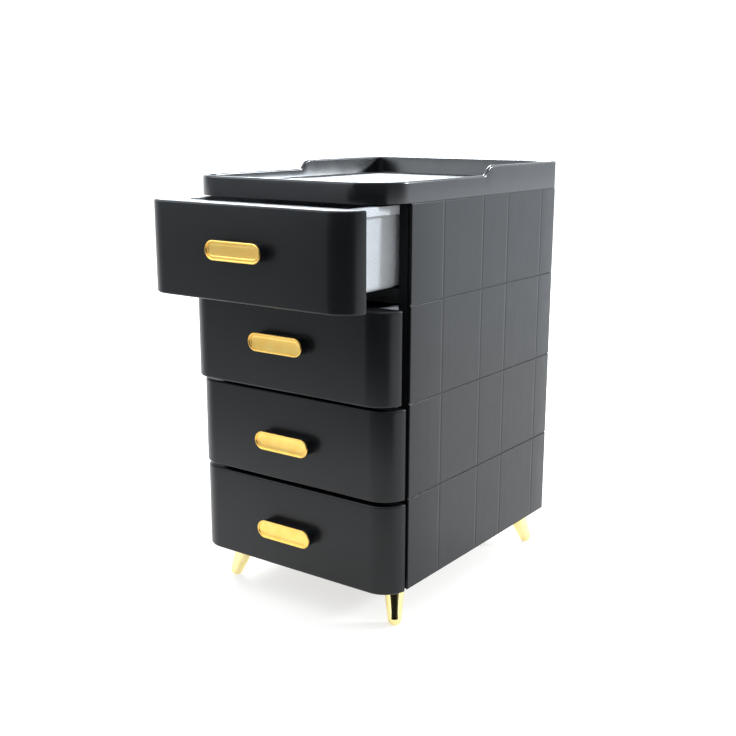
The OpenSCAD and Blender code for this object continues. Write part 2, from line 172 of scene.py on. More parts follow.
def moulded(name, dark, light, rough, grain_mm, grain_depth_mm, ior, relief=None, gloss=None):
    """Injection-moulded plastic: one dye with faint flow clouds, and a fine spark-eroded grain.

    The real grain is under 0.1 mm and too fine to show, so grain_mm draws it as coarse as it needs
    to show."""
    material, tree, shader = blank(name, IOR=ior)
    place = add(tree, "ShaderNodeTexCoord").outputs["Object"]
    tree.links.new(tinted(tree, place, DYE_CLOUD_MM, dark, light), shader.inputs["Base Color"])
    tree.links.new(clouds(tree, place, SHEEN_CLOUD_MM, *rough, detail=4.0), shader.inputs["Roughness"])
    height = clouds(tree, place, grain_mm, 0.0, grain_depth_mm, detail=2.0)
    if relief:
        height = add(tree, "ShaderNodeMath", {"operation": "ADD"},
                     i0=height, i1=relief(tree, place)).outputs[0]
    bump = add(tree, "ShaderNodeBump", Height=height, Distance=MM)
    tree.links.new(bump.outputs[0], shader.inputs["Normal"])
    if gloss:
        tree.links.new(gloss(tree, place), shader.inputs["Specular IOR Level"])
    return material


def upright_grain(tree, place, width_mm=6.0, height_mm=120.0, depth_mm=0.025):
    """Height of a faint upright wood-like grain, in millimetres."""
    upright = (1.0, 1.0, width_mm / height_mm)
    stretched = add(tree, "ShaderNodeMapping", Vector=place, Scale=upright).outputs[0]
    return clouds(tree, stretched, width_mm, 0.0, depth_mm, detail=1.5)


def jamb_gloss_for_shade(tree, place, edge_mm=0.8, dull=0.1, full=0.5):
    """How much the side walls shine: their front edges shine less, as painted shade for the shade that falls
    behind the drawer fronts, and so the tubs don't show in them.
    """
    depth = add(tree, "ShaderNodeSeparateXYZ", Vector=place).outputs["Y"]
    return add(tree, "ShaderNodeMapRange", Value=depth, From_Min=FRONT_PLANE * MM,
               From_Max=(FRONT_PLANE + edge_mm) * MM, To_Min=dull, To_Max=full).outputs["Result"]


# a brushed line's width as a share of its length
LINE_SHARE = 0.06


def plated(name, dark, light, rough, lines_mm, lines_depth_mm):
    """Gold plating: a warm metal whose brushing or polishing leaves fine lines along X.

    The real lines are under 0.1 mm apart and too fine to show, so lines_mm draws them coarser."""
    material, tree, shader = blank(name, Metallic=1.0)
    place = add(tree, "ShaderNodeTexCoord").outputs["Object"]
    tree.links.new(tinted(tree, place, GOLD_CLOUD_MM, dark, light), shader.inputs["Base Color"])
    along = add(tree, "ShaderNodeMapping", Vector=place, Scale=(LINE_SHARE, 1.0, 1.0)).outputs[0]
    tree.links.new(clouds(tree, along, lines_mm, *rough), shader.inputs["Roughness"])
    lines = clouds(tree, along, lines_mm, 0.0, lines_depth_mm)
    bump = add(tree, "ShaderNodeBump", Height=lines, Distance=MM)
    tree.links.new(bump.outputs[0], shader.inputs["Normal"])
    return material


# satin black ABS of the fronts and knobs: almost no colour of its own, it shows by soft reflections
BLACK_FRONT = moulded("black_moulded_abs", "#101113", "#131416", rough=(0.29, 0.32),
                      grain_mm=0.6, grain_depth_mm=0.0004, ior=1.38)
# the tray's ABS is polished a little more than the fronts', so its sides look paler
BLACK_TRAY = moulded("black_polished_abs", "#101113", "#131416", rough=(0.18, 0.23),
                     grain_mm=0.6, grain_depth_mm=0.0004, ior=1.56)
# the side walls' ABS: an upright grain breaks its reflections into faint streaks, and its front edges shine
# less as painted shade
BLACK_PLANK = moulded("black_planked_abs", "#111214", "#151618", rough=(0.3, 0.36),
                      grain_mm=0.6, grain_depth_mm=0.0002, ior=1.36, relief=upright_grain, gloss=jamb_gloss_for_shade)
# the tray's floor: the same ABS with a fine matt texture, which turns pale where light grazes it
BLACK_MATT = moulded("black_textured_abs", "#151618", "#18191B", rough=(0.485, 0.5),
                     grain_mm=0.7, grain_depth_mm=0.001, ior=1.55)
# the hidden inside of the mouldings: duller, straight from the tool
BLACK_INSIDE = moulded("black_abs_inside", "#0D0D0E", "#111112", rough=(0.42, 0.5),
                       grain_mm=0.5, grain_depth_mm=0.01, ior=1.45)
# white polypropylene of the tubs: a cool white, softly mottled by its grain where light rakes it
WHITE_TUB = moulded("white_moulded_polypropylene", "#ABAEB1", "#B7BABD", rough=(0.3, 0.38),
                    grain_mm=1.1, grain_depth_mm=0.3, ior=1.49)
# gold-plated cap: brushed along its length, so it glows evenly
GOLD_CAP = plated("gold_plated_cap", "#FFCC6A", "#FFD77A", rough=(0.29, 0.35),
                  lines_mm=0.5, lines_depth_mm=0.001)
# gold-plated leg: polished, a clear mirror
GOLD_LEG = plated("gold_plated_leg", "#F4E29C", "#FCECAE", rough=(0.06, 0.1),
                  lines_mm=0.8, lines_depth_mm=0.0004)


def zinc_plated():
    """Pale grey metal with a slightly dull plating."""
    material, tree, shader = blank("zinc_plated_steel", Metallic=1.0, Roughness=0.32)
    place = add(tree, "ShaderNodeTexCoord").outputs["Object"]
    tree.links.new(tinted(tree, place, ZINC_CLOUD_MM, "#A9ABAE", "#BFC1C4"), shader.inputs["Base Color"])
    return material


# zinc-plated steel: a cool grey metal that tells the screws from the plastic
ZINC = zinc_plated()


# ---- meshes -------------------------------------------------------------------------------

# points closer than this become one, and faces thinner than this go
WELD, SLIVER = 0.002 * MM, 0.001 * MM


def shell_of(name, points, faces):
    """A closed mesh from points in millimetres, its faces turned outwards."""
    mesh = bpy.data.meshes.new(name)
    mesh.from_pydata([Vector(p) * MM for p in points], [], faces)
    shell = bmesh.new()
    shell.from_mesh(mesh)
    bmesh.ops.remove_doubles(shell, verts=shell.verts, dist=WELD)
    bmesh.ops.dissolve_degenerate(shell, edges=shell.edges, dist=SLIVER)
    bmesh.ops.recalc_face_normals(shell, faces=shell.faces)
    shell.to_mesh(mesh)
    shell.free()
    return mesh


def finished(mesh, material, body, nodes, sharp):
    """The mesh as a piece of its own name that stands for its CAD nodes, creased past sharp degrees."""
    mesh.polygons.foreach_set("use_smooth", [True] * len(mesh.polygons))
    mesh.set_sharp_from_angle(angle=math.radians(sharp))
    mesh.materials.clear()
    mesh.materials.append(material)
    piece = bpy.data.objects.new(mesh.name, mesh)
    bpy.context.scene.collection.objects.link(piece)
    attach(piece, body)
    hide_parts(*nodes)


def loft(rows, closed_rows, closed_loft):
    """Points and faces between rows of equally many points: rows may be rings, and so may the stack."""
    count = len(rows[0])
    points = [p for row in rows for p in row]
    faces = []
    for r in range(len(rows) - (0 if closed_loft else 1)):
        for c in range(count - (0 if closed_rows else 1)):
            a, b = r * count + c, r * count + (c + 1) % count
            d = ((r + 1) % len(rows)) * count
            faces.append((a, b, d + (c + 1) % count, d + c))
    return points, faces


def capped_loft(rows):
    """A loft of rings with its first and last ring filled in."""
    points, faces = loft(rows, True, False)
    count = len(rows[0])
    return points, faces + [list(range(count))[::-1], [(len(rows) - 1) * count + i for i in range(count)]]


def joined(*parts):
    """Several sets of points and faces as one."""
    points, faces = [], []
    for more_points, more_faces in parts:
        faces += [[i + len(points) for i in face] for face in more_faces]
        points += more_points
    return points, faces


def block(low, high):
    """A plain rectangular block between two corners."""
    (x0, y0, z0), (x1, y1, z1) = low, high
    return capped_loft([[(x0, y0, z), (x1, y0, z), (x1, y1, z), (x0, y1, z)] for z in (z0, z1)])


def arc(centre, radius, start, end, steps):
    """Points along an arc, angles in degrees."""
    turn = [math.radians(start + (end - start) * i / steps) for i in range(steps + 1)]
    return [(centre[0] + radius * math.cos(a), centre[1] + radius * math.sin(a)) for a in turn]


def applied(mesh, kind, **settings):
    """The mesh after one modifier, as a new plain mesh."""
    host = bpy.data.objects.new("host", mesh)
    bpy.context.scene.collection.objects.link(host)
    modifier = host.modifiers.new("step", kind)
    for key, value in settings.items():
        setattr(modifier, key, value)
    graph = bpy.context.evaluated_depsgraph_get()
    result = bpy.data.meshes.new_from_object(host.evaluated_get(graph), depsgraph=graph)
    bpy.data.objects.remove(host)
    return result


def carved(mesh, cutter_mesh):
    """The mesh less the cutter."""
    cutter = bpy.data.objects.new("cutter", cutter_mesh)
    bpy.context.scene.collection.objects.link(cutter)
    result = applied(mesh, "BOOLEAN", operation="DIFFERENCE", solver="EXACT", object=cutter)
    bpy.data.objects.remove(cutter)
    result.name = mesh.name
    return result


# ---- repeated parts, by Geometry Nodes ----------------------------------------------------

def node_tree(name, **inputs):
    """An empty Geometry Nodes tree with named inputs, and the outputs of its input node."""
    tree = bpy.data.node_groups.new(name, "GeometryNodeTree")
    tree.interface.new_socket("Geometry", in_out="OUTPUT", socket_type="NodeSocketGeometry")
    for label, kind in inputs.items():
        tree.interface.new_socket(label.replace("_", " "), in_out="INPUT", socket_type="NodeSocket" + kind)
    return tree, add(tree, "NodeGroupInput").outputs


def real_mesh(tree, geometry, material):
    """The tree's end: real geometry with its material."""
    real = add(tree, "GeometryNodeRealizeInstances", Geometry=geometry)
    painted = add(tree, "GeometryNodeSetMaterial", Geometry=real.outputs[0], Material=material)
    add(tree, "NodeGroupOutput", Geometry=painted.outputs[0])


def grid_tree():
    """One part set at every place of a grid of two steps."""
    tree, given = node_tree("parts_on_a_grid", Part="Object", Material="Material", Start="Vector",
                            Count="Int", Step="Vector", Rows="Int", Row_Step="Vector", Turn="Rotation")
    row = add(tree, "GeometryNodeMeshLine", Count=given["Count"], Start_Location=given["Start"],
              Offset=given["Step"])
    rows = add(tree, "GeometryNodeMeshLine", Count=given["Rows"], Offset=given["Row Step"])
    places = add(tree, "GeometryNodeInstanceOnPoints", Points=rows.outputs[0], Instance=row.outputs[0])
    points = add(tree, "GeometryNodeRealizeInstances", Geometry=places.outputs[0])
    part = add(tree, "GeometryNodeObjectInfo", Object=given["Part"])
    parts = add(tree, "GeometryNodeInstanceOnPoints", Points=points.outputs[0],
                Instance=part.outputs["Geometry"], Rotation=given["Turn"])
    real_mesh(tree, parts.outputs[0], given["Material"])
    return tree


def tower_tree():
    """One tier's right wall stacked up the tower, and the same mirrored to the left."""
    tree, given = node_tree("walls_up_the_tower", Part="Object", Material="Material", Tiers="Int",
                            Pitch="Vector")
    places = add(tree, "GeometryNodeMeshLine", Count=given["Tiers"], Offset=given["Pitch"])
    part = add(tree, "GeometryNodeObjectInfo", Object=given["Part"])
    walls = add(tree, "GeometryNodeInstanceOnPoints", Points=places.outputs[0],
                Instance=part.outputs["Geometry"])
    right = add(tree, "GeometryNodeRealizeInstances", Geometry=walls.outputs[0])
    across = add(tree, "GeometryNodeTransform", Geometry=right.outputs[0], Scale=(-1.0, 1.0, 1.0))
    left = add(tree, "GeometryNodeFlipFaces", Mesh=across.outputs[0])
    both = add(tree, "GeometryNodeJoinGeometry")
    for side in (right, left):
        tree.links.new(side.outputs[0], both.inputs[0])
    real_mesh(tree, both.outputs[0], given["Material"])
    return tree


def grown(name, tree, part_mesh, body, nodes, slot, sharp, **values):
    """What the tree makes of a part, finished as one plain mesh piece."""
    part = bpy.data.objects.new(name + "_part", part_mesh)
    host = bpy.data.objects.new(name + "_host", bpy.data.meshes.new(name + "_host"))
    for helper in (part, host):
        bpy.context.scene.collection.objects.link(helper)
    values["Part"] = part
    modifier = host.modifiers.new("grown", "NODES")
    modifier.node_group = tree
    for item in tree.interface.items_tree:
        label = item.name.replace(" ", "_")
        if item.in_out == "INPUT" and label in values:
            modifier[item.identifier] = values[label]
    graph = bpy.context.evaluated_depsgraph_get()
    mesh = bpy.data.meshes.new_from_object(host.evaluated_get(graph), depsgraph=graph)
    mesh.name = name
    for helper in (part, host):
        bpy.data.objects.remove(helper)
    finished(mesh, values["Material"], body, nodes, sharp)


GRID, TOWER = grid_tree(), tower_tree()


def screw(shank_l, head_r, head_h, sides=32, dome=0.6):
    """Pan-head screw along z, its head's seat at 0: a turned profile with a cross recess."""
    profile = [(SCREW_BEVEL, -shank_l), (SCREW_R - SCREW_BEVEL, -shank_l), (SCREW_R, -shank_l + 0.4),
               (SCREW_R, 0.0), (head_r, 0.0)]
    profile += arc((head_r - head_h * dome, head_h * (1 - dome)), head_h * dome, 0, 90, 6)
    profile.append((SCREW_BEVEL, head_h))
    rings = [[(r * math.cos(a), r * math.sin(a), z) for a in (math.tau * i / sides for i in range(sides))]
             for r, z in profile]
    body = shell_of("screw", *capped_loft(rings))
    long, wide = head_r * 0.55, head_r * 0.14
    for x, y in ((long, wide), (wide, long)):
        body = carved(body, shell_of("recess", *block((-x, -y, head_h - RECESS_D), (x, y, head_h + 1))))
    return body


# ---- case ---------------------------------------------------------------------------------

def wall_plan():
    """The right wall's outline from above: jamb with its slot, planks with soft grooves, rounded rear."""
    edge, inner = CASE_W / 2, CASE_W / 2 - SIDE_T
    slot_out = edge - SLOT_IN
    plan = [(inner, 0.0), (slot_out - SLOT_W, 0.0), (slot_out - SLOT_W, SLOT_D), (slot_out, SLOT_D)]
    plan += arc((edge - WALL_EDGE_R, WALL_EDGE_R), WALL_EDGE_R, -90, 0, 6)
    flank = 4
    for share in PLANKS:
        for k in range(-flank - 1, flank + 2):
            dip = GROOVE_D * (1 + math.cos(math.pi * min(abs(k), flank) / flank)) / 2
            plan.append((edge - dip, share * CASE_D + GROOVE_HALF * k / flank))
    return plan + arc((edge - WALL_EDGE_R, CASE_D - WALL_EDGE_R), WALL_EDGE_R, 0, 90, 6) + [(inner, CASE_D)]


def wall_panel():
    """One tier's right wall: grooved outside with soft seams, and pocketed from its inner face."""
    edge, inner = CASE_W / 2, CASE_W / 2 - SIDE_T
    seam = [(0.0, SEAM_D), (SEAM_H, SEAM_D)]
    seam += [(SEAM_H + SEAM_R - z, SEAM_R - x) for x, z in arc((0, 0), SEAM_R, 90, 0, 4)]
    seam.append((SEAM_H + SEAM_R + SEAM_LEVEL, 0.0))
    rows = []
    for z, cut in seam + [(TIER_H - z, cut) for z, cut in reversed(seam)]:
        rows.append([(min(x, edge - cut), y + FRONT_PLANE, LEG_H + z) for x, y in wall_plan()])
    panel = shell_of("side_walls", *capped_loft(rows))
    pitch = (CASE_D - 2 * JAMB + RIB) / BAYS
    low = SHELF_H + RIB
    row = (TIER_H - low - RIB) / 2
    pockets = []
    for i in range(BAYS):
        for j in range(2):
            y0, z0 = FRONT_PLANE + JAMB + i * pitch, LEG_H + low + j * row
            pockets.append(block((inner - 1, y0, z0), (edge - SKIN_T, y0 + pitch - RIB, z0 + row - RIB)))
    return carved(panel, shell_of("pockets", *joined(*pockets)))


def side_walls():
    """Both side walls of every tier."""
    nodes = [f"side_{side}_{n}" for side in ("left", "right") for n in range(1, TIERS + 1)]
    grown("side_walls", TOWER, wall_panel(), "case", nodes, "black_plastic", 30.0, Material=BLACK_PLANK,
          Tiers=TIERS, Pitch=(0.0, 0.0, TIER_H * MM))


# ---- drawers ------------------------------------------------------------------------------

def front_row(n, inset, z, to_back=False):
    """Line along a front's face from its left back to its right back, or the same at its back plane."""
    reach = FRONT_R - inset
    end = math.degrees(math.asin((FRONT_R - FRONT_D) / reach))
    bend = arc((FRONT_W / 2 - FRONT_R, FRONT_R), reach, -end, -90, 24)
    line = [(-x, y) for x, y in bend] + bend[::-1]
    return [(x, face_y(n) + (FRONT_D if to_back else y), tier_z(n) + FRONT_UP + z) for x, y in line]


def drawer_front(n):
    """Open-backed shell, bent round two upright corners, with soft long edges and a rib half way up."""
    low = [(EDGE_R - x, EDGE_R - z) for x, z in arc((0, 0), EDGE_R, 90, 0, 8)]
    edge = low + [(x, FRONT_H - z) for x, z in reversed(low)]
    rows = [front_row(n, edge[0][0], 0.0, True)] + [front_row(n, x, z) for x, z in edge]
    rows += [front_row(n, edge[-1][0], FRONT_H, True), front_row(n, FRONT_T, FRONT_H - FRONT_T, True),
             front_row(n, FRONT_T, FRONT_H - FRONT_T), front_row(n, FRONT_T, FRONT_T),
             front_row(n, FRONT_T, FRONT_T, True)]
    points, faces = loft(rows, False, True)
    count = len(rows[0])
    faces += [[r * count for r in range(len(rows))], [r * count + count - 1 for r in range(len(rows))][::-1]]
    rib_z, bite = FRONT_T + (FRONT_H - 2 * FRONT_T + RIB) / 2, 0.3
    rib = capped_loft([front_row(n, FRONT_T - bite, z) for z in (rib_z - RIB, rib_z)])
    mesh = shell_of(f"drawer_front_shell_{n}", *joined((points, faces), rib))
    finished(mesh, BLACK_FRONT, f"drawer_{n}", [f"drawer_front_{n}"], 50.0)


def front_ribs(n):
    """The upright ribs that divide the front's open back, each a little way into its skin."""
    bite = 0.2
    cell_w = (FRONT_W - 2 * FRONT_T + RIB) / FRONT_CELLS
    high = FRONT_H - 2 * FRONT_T + 2 * bite
    bar = shell_of("rib", *block((0, 0, 0), (RIB, FRONT_D - FRONT_T + bite, high)))
    start = Vector((FRONT_T - FRONT_W / 2 + cell_w - RIB, face_y(n) + FRONT_T - bite,
                    tier_z(n) + FRONT_UP + FRONT_T - bite))
    grown(f"drawer_front_ribs_{n}", GRID, bar, f"drawer_{n}", [f"drawer_front_{n}"], "black_plastic", 30.0,
          Material=BLACK_INSIDE, Start=start * MM, Count=FRONT_CELLS - 1, Step=(cell_w * MM, 0.0, 0.0),
          Rows=1)


def ring_path(width, depth, radius, out, steps=12):
    """Closed plan outline of a rounded rectangle from y = 0 to depth, moved outwards by out."""
    line = []
    for sx, sy, start in ((1, 1, 0), (-1, 1, 90), (-1, -1, 180), (1, -1, 270)):
        centre = (sx * (width / 2 - radius), depth - radius if sy > 0 else radius)
        line += arc(centre, radius + out, start, start + 90, steps)
    return line


def drawer_tub(n):
    """Tub with leaning walls, a rounded foot inside and out, and a turned-down rim cut flat at its front."""
    foot, lean_at_rim = -TUB_DRAFT - TUB_FOOT_R, 0.02
    section = arc((foot, TUB_FOOT_R), TUB_FOOT_R - TUB_T, 270, 360, 6)
    section += arc((-TUB_T / 2, TUB_H - TUB_T / 2), TUB_T / 2, 180, 90, 4)
    section += arc((RIM_OUT - RIM_R, TUB_H - RIM_R), RIM_R, 90, 0, 5)
    section += [(RIM_OUT, TUB_H - RIM_H + RIM_BEVEL), (RIM_OUT - RIM_BEVEL, TUB_H - RIM_H),
                (RIM_OUT - RIM_LIP, TUB_H - RIM_H), (RIM_OUT - RIM_LIP, TUB_H - RIM_LIP),
                (-lean_at_rim, TUB_H - RIM_LIP)]
    section += arc((foot, TUB_FOOT_R), TUB_FOOT_R, 360, 270, 8)
    y0, z0 = face_y(n) + FRONT_D, tier_z(n) + TUB_Z
    rows = [[(x, y0 + FRONT_GAP + y, z0 + z) for x, y in ring_path(TUB_W, TUB_D, TUB_R, out)]
            for out, z in section]
    mesh = shell_of(f"drawer_tub_shell_{n}", *capped_loft(rows))
    shell = bmesh.new()
    shell.from_mesh(mesh)
    bmesh.ops.bisect_plane(shell, geom=shell.verts[:] + shell.edges[:] + shell.faces[:], dist=1e-7,
                           plane_co=(0, y0 * MM, 0), plane_no=(0, -1, 0), clear_outer=True)
    bmesh.ops.triangle_fill(shell, edges=[e for e in shell.edges if e.is_boundary], use_beauty=True,
                            normal=(0, -1, 0))
    bmesh.ops.recalc_face_normals(shell, faces=shell.faces)
    shell.to_mesh(mesh)
    shell.free()
    finished(mesh, WHITE_TUB, f"drawer_{n}", [f"drawer_tub_{n}"], 40.0)


def stadium(inset, steps=20):
    """The knob's closed stadium outline in x and z, drawn in by inset."""
    r, half = KNOB_H / 2 - inset, (KNOB_W - KNOB_H) / 2
    return arc((half, 0), r, -90, 90, steps) + arc((-half, 0), r, 90, 270, steps)


def stacked(name, n, section, material, node):
    """A knob's piece from stadium outlines, each drawn in by so much and so far ahead of the face."""
    rows = [[(x, face_y(n) - ahead, knob_z(n) + z) for x, z in stadium(inset)] for inset, ahead in section]
    finished(shell_of(name, *capped_loft(rows)), material, f"drawer_{n}", [node], 40.0)


def knob(n):
    """Black stadium stand-off, and the gold cap with a round lip and a field sunk in two steps."""
    stand_off = [(0.7, 0.0), (0.7, KNOB_STAND - 0.3), (1.0, KNOB_STAND)]
    stacked(f"knob_stand_off_{n}", n, stand_off, BLACK_FRONT, f"knob_body_{n}")
    top = KNOB_STAND + CAP_T
    back = [(0.25, KNOB_STAND), (0.0, KNOB_STAND + 0.25)]
    lip = [(CAP_LIP_R - x, top - CAP_LIP_R + y) for x, y in arc((0, 0), CAP_LIP_R, 0, 180, 10)]
    field = [(1.25, top - 0.88), (2.9, top - 0.9), (3.2, top - 1.05), (3.5, top - 1.1)]
    stacked(f"knob_gold_cap_{n}", n, back + lip + field, GOLD_CAP, f"knob_cap_{n}")


def knob_screws(n):
    """The knob's two screws, put in from inside the tub, their heads on its leaning wall."""
    lean = 0.6
    seat_y = face_y(n) + FRONT_D + FRONT_GAP + TUB_T + lean
    start = Vector((-KNOB_PITCH / 2, seat_y, knob_z(n)))
    grown(f"knob_pan_screws_{n}", GRID, screw(shank_l=FRONT_D, head_r=3.0, head_h=1.8), f"drawer_{n}",
          [f"knob_screws_{n}"], "screw_steel", 40.0, Material=ZINC, Start=start * MM, Count=2,
          Step=(KNOB_PITCH * MM, 0.0, 0.0), Rows=1, Turn=(-math.pi / 2, 0.0, 0.0))


# ---- tray ---------------------------------------------------------------------------------

def tray_stations():
    """The right half of the rim's centre line from front to back: place, way out, lean and height."""
    low_z, high_z, x = RIM_LOW - TRAY_T / 2, RIM_HIGH - TRAY_T / 2, (TRAY_W - TRAY_T) / 2
    front_y, rear_y = TRAY_T / 2 - TRAY_AHEAD, CASE_D - TRAY_T / 2
    corner, bend = (TRAY_W / 2 - TRAY_R, TRAY_R - TRAY_AHEAD), TRAY_R - TRAY_T / 2
    line = [((u, front_y), (0, -1), 0.0, low_z) for u in (0.0, 20.0, 40.0)]
    ways = arc((0, 0), 1.0, -90, 0, 28)
    line += [(place, way, 0.0, low_z) for place, way in zip(arc(corner, bend, -90, 0, 28), ways)]
    line += [((x, y), (1, 0), 0.0, low_z) for y in (20.0, 45.0, 70.0, 90.0)]
    full = math.radians(STEP_A)
    slant = (high_z - low_z - (DIP_R + CROWN_R) * (1 - math.cos(full))) / math.sin(full)
    end_y = STEP_Y + (DIP_R + CROWN_R) * math.sin(full) + slant * math.cos(full)
    for y, z in arc((STEP_Y, low_z + DIP_R), DIP_R, -90, STEP_A - 90, 8):
        line.append(((x, y), (1, 0), math.asin((y - STEP_Y) / DIP_R), z))
    for y, z in arc((end_y, high_z - CROWN_R), CROWN_R, STEP_A + 90, 90, 8):
        line.append(((x, y), (1, 0), math.asin((end_y - y) / CROWN_R), z))
    line += [((x, y), (1, 0), 0.0, high_z) for y in (130.0, 160.0, 190.0)]
    line.append(((x, rear_y), (1, 1), 0.0, high_z))
    return line + [((u, rear_y), (0, 1), 0.0, high_z) for u in (60.0, 30.0, 0.0)]


def rim_ring(place, way, lean, top):
    """The tray wall's section at a station: the rounded crest leans back where the rim climbs."""
    half_t, soft, nick = TRAY_T / 2, 0.6, 0.2
    section = [(-half_t, TRAY_FLOOR - TRAY_SKIN, 0.0), (-half_t, 0.0, 0.0), (half_t, 0.0, 0.0)]
    section += [(out, top + rise * math.cos(lean), rise * math.sin(lean))
                for out, rise in arc((0, 0), half_t, 0, 180, 10)]
    section += [(-half_t, TRAY_FLOOR + soft, 0.0), (-half_t - nick, TRAY_FLOOR + nick, 0.0),
                (-half_t - soft, TRAY_FLOOR, 0.0)]
    return [(place[0] + out * way[0], place[1] + FRONT_PLANE + out * way[1] - back, TRAY_Z + z)
            for out, z, back in section]


def top_tray():
    """Tray: floor, stepped wall with a round top, filleted rear corners and a hollow underside."""
    half = tray_stations()
    whole = half + [((-p[0], p[1]), (-w[0], w[1]), lean, z) for p, w, lean, z in reversed(half[1:-1])]
    rings = [rim_ring(*station) for station in whole]
    parts = [capped_loft([list(row) for row in zip(*rings)])]
    # what fills each rear corner behind its fillet, sunk a little into the wall and the floor
    middle = (TRAY_W / 2 - TRAY_T - TRAY_FILLET, CASE_D - TRAY_T - TRAY_FILLET)
    filler = arc(middle, TRAY_FILLET + 0.05, 0, 90, 10)
    filler.append((middle[0] + TRAY_FILLET + 1, middle[1] + TRAY_FILLET + 1))
    for side in (-1, 1):
        parts.append(capped_loft([[(side * x, y + FRONT_PLANE, TRAY_Z + z) for x, y in filler]
                                  for z in (TRAY_FLOOR - 1, RIM_HIGH - TRAY_T / 2)]))
    finished(shell_of("top_tray_shell", *joined(*parts)), BLACK_TRAY, "case", ["top_tray"],
             40.0)


def tray_field():
    """The textured field that lines the tray's floor, a hair proud of it."""
    gap, sunk, proud = 0.7, 0.3, 0.05
    half = arc((TRAY_W / 2 - TRAY_R, TRAY_R - TRAY_AHEAD), TRAY_R - (TRAY_T + gap), -90, 0, 20)
    rear = (TRAY_W / 2 - TRAY_T - TRAY_FILLET, CASE_D - TRAY_T - TRAY_FILLET)
    half += arc(rear, TRAY_FILLET - gap, 0, 90, 8)
    plan = half + [(-x, y) for x, y in reversed(half)]
    floor_z = TRAY_Z + TRAY_FLOOR
    rows = [[(x, y + FRONT_PLANE, floor_z + rise) for x, y in plan] for rise in (-sunk, proud)]
    finished(shell_of("top_tray_field", *capped_loft(rows)), BLACK_MATT, "case", ["top_tray"],
             40.0)


def tray_ribs():
    """The ribs that carry the tray's floor, across and along, each a little way into it."""
    under = TRAY_FLOOR - TRAY_SKIN + 0.2
    first_y, step_y, count_y = TRAY_RIBS_ACROSS
    first_x, step_x, count_x = TRAY_RIBS_ALONG
    across = shell_of("rib", *block((0, 0, 0), (TRAY_W - TRAY_T, RIB, under)))
    start = Vector((TRAY_T / 2 - TRAY_W / 2, FRONT_PLANE + first_y, TRAY_Z))
    grown("tray_ribs_across", GRID, across, "case", ["top_tray"], "black_plastic", 30.0,
          Material=BLACK_INSIDE, Start=start * MM, Count=count_y, Step=(0.0, step_y * MM, 0.0), Rows=1)
    length = CASE_D - first_y - TRAY_T / 2
    along = shell_of("rib", *block((-RIB / 2, 0, 0), (RIB / 2, length, under)))
    start.x = first_x
    grown("tray_ribs_along", GRID, along, "case", ["top_tray"], "black_plastic", 30.0,
          Material=BLACK_INSIDE, Start=start * MM, Count=count_x, Step=(step_x * MM, 0.0, 0.0), Rows=1)


# ---- legs ---------------------------------------------------------------------------------

def leg(side, end, sides=64, slices=6):
    """Turned leg: a cone with a ball tip, leaning outwards, flat at the case and at the floor."""
    top = Vector((side * LEG_X, FRONT_PLANE + (LEG_FRONT_Y if end < 0 else LEG_REAR_Y), LEG_H))
    tip = top + Vector((side * SPLAY_X, end * SPLAY_Y, LEG_TIP_R - LEG_TIP_CUT - LEG_H))
    axis = top - tip
    length = axis.length
    axis.normalize()
    across = axis.orthogonal().normalized()
    other = axis.cross(across)
    section = arc((0, 0), LEG_TIP_R, -84, 0, 14)
    section += [(LEG_TIP_R + (LEG_TOP_R - LEG_TIP_R) * k / slices, length * k / slices)
                for k in range(1, slices + 1)]
    rows = []
    for r, h in section:
        ring = []
        for x, y in arc((0, 0), r, 0, 360 - 360 / sides, sides - 1):
            p = tip + axis * h + across * x + other * y
            if h >= length - 1e-6:
                p += axis * ((LEG_H - p.z) / axis.z)
            p.z = max(p.z, 0.0)
            ring.append(tuple(p))
        rows.append(ring)
    place = f"{'front' if end < 0 else 'rear'}_{'left' if side < 0 else 'right'}"
    finished(shell_of(f"gold_leg_{place}", *capped_loft(rows)), GOLD_LEG, "case", [f"leg_{place}"],
             50.0)


def leg_screws():
    """The four screws that hold the legs, put in from inside the case, their heads sunk in its base."""
    start = Vector((-LEG_X, FRONT_PLANE + LEG_FRONT_Y, LEG_H + BASE_T - LEG_SEAT_DOWN))
    grown("leg_pan_screws", GRID, screw(shank_l=14.6, head_r=3.2, head_h=2.0), "case", ["leg_screws"],
          "screw_steel", 40.0, Material=ZINC, Start=start * MM, Count=2, Step=(2 * LEG_X * MM, 0.0, 0.0),
          Rows=2, Row_Step=(0.0, (LEG_REAR_Y - LEG_FRONT_Y) * MM, 0.0))


side_walls()
for tier in range(1, TIERS + 1):
    drawer_front(tier)
    front_ribs(tier)
    drawer_tub(tier)
    knob(tier)
    knob_screws(tier)
top_tray()
tray_field()
tray_ribs()
for leg_end in (-1, 1):
    for leg_side in (-1, 1):
        leg(leg_side, leg_end)
leg_screws()

# the shelves, backs and base, which keep their CAD shapes
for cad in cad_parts.values():
    if not cad.hide_render:
        cad.data.materials.clear()
        cad.data.materials.append(BLACK_INSIDE)

# ---- floor, cards, light and camera, in metres --------------------------------------------

# the tint of every lamp, card and wall of the room, a little cooler than white
COOL = (0.93, 1.0, 1.07)
TABLE_HALF, TABLE_CLOUD_MM = 9.0, 3
# the cards stand round this middle, the near ones at this radius and up to this height
CARD_MIDDLE, NEAR_R, NEAR_TOP = (0.03, -0.08), 0.45, 0.34
# a card's glow changes from its foot's to its head's between the floor and this height
GLOW_RISE = 0.2
# the way in which the room grows brighter, from the camera's side to behind the object
REAR_WAY = (-0.35, 0.94, 0.0)
CAMERA_PLACE, CAMERA_LENS, SENSOR_W = (0.498102, -0.681962, 0.366425), 53.28, 36.0
AZIMUTH, ELEVATION, ROLL = map(math.radians, (35.807, 12.948, 0.191))


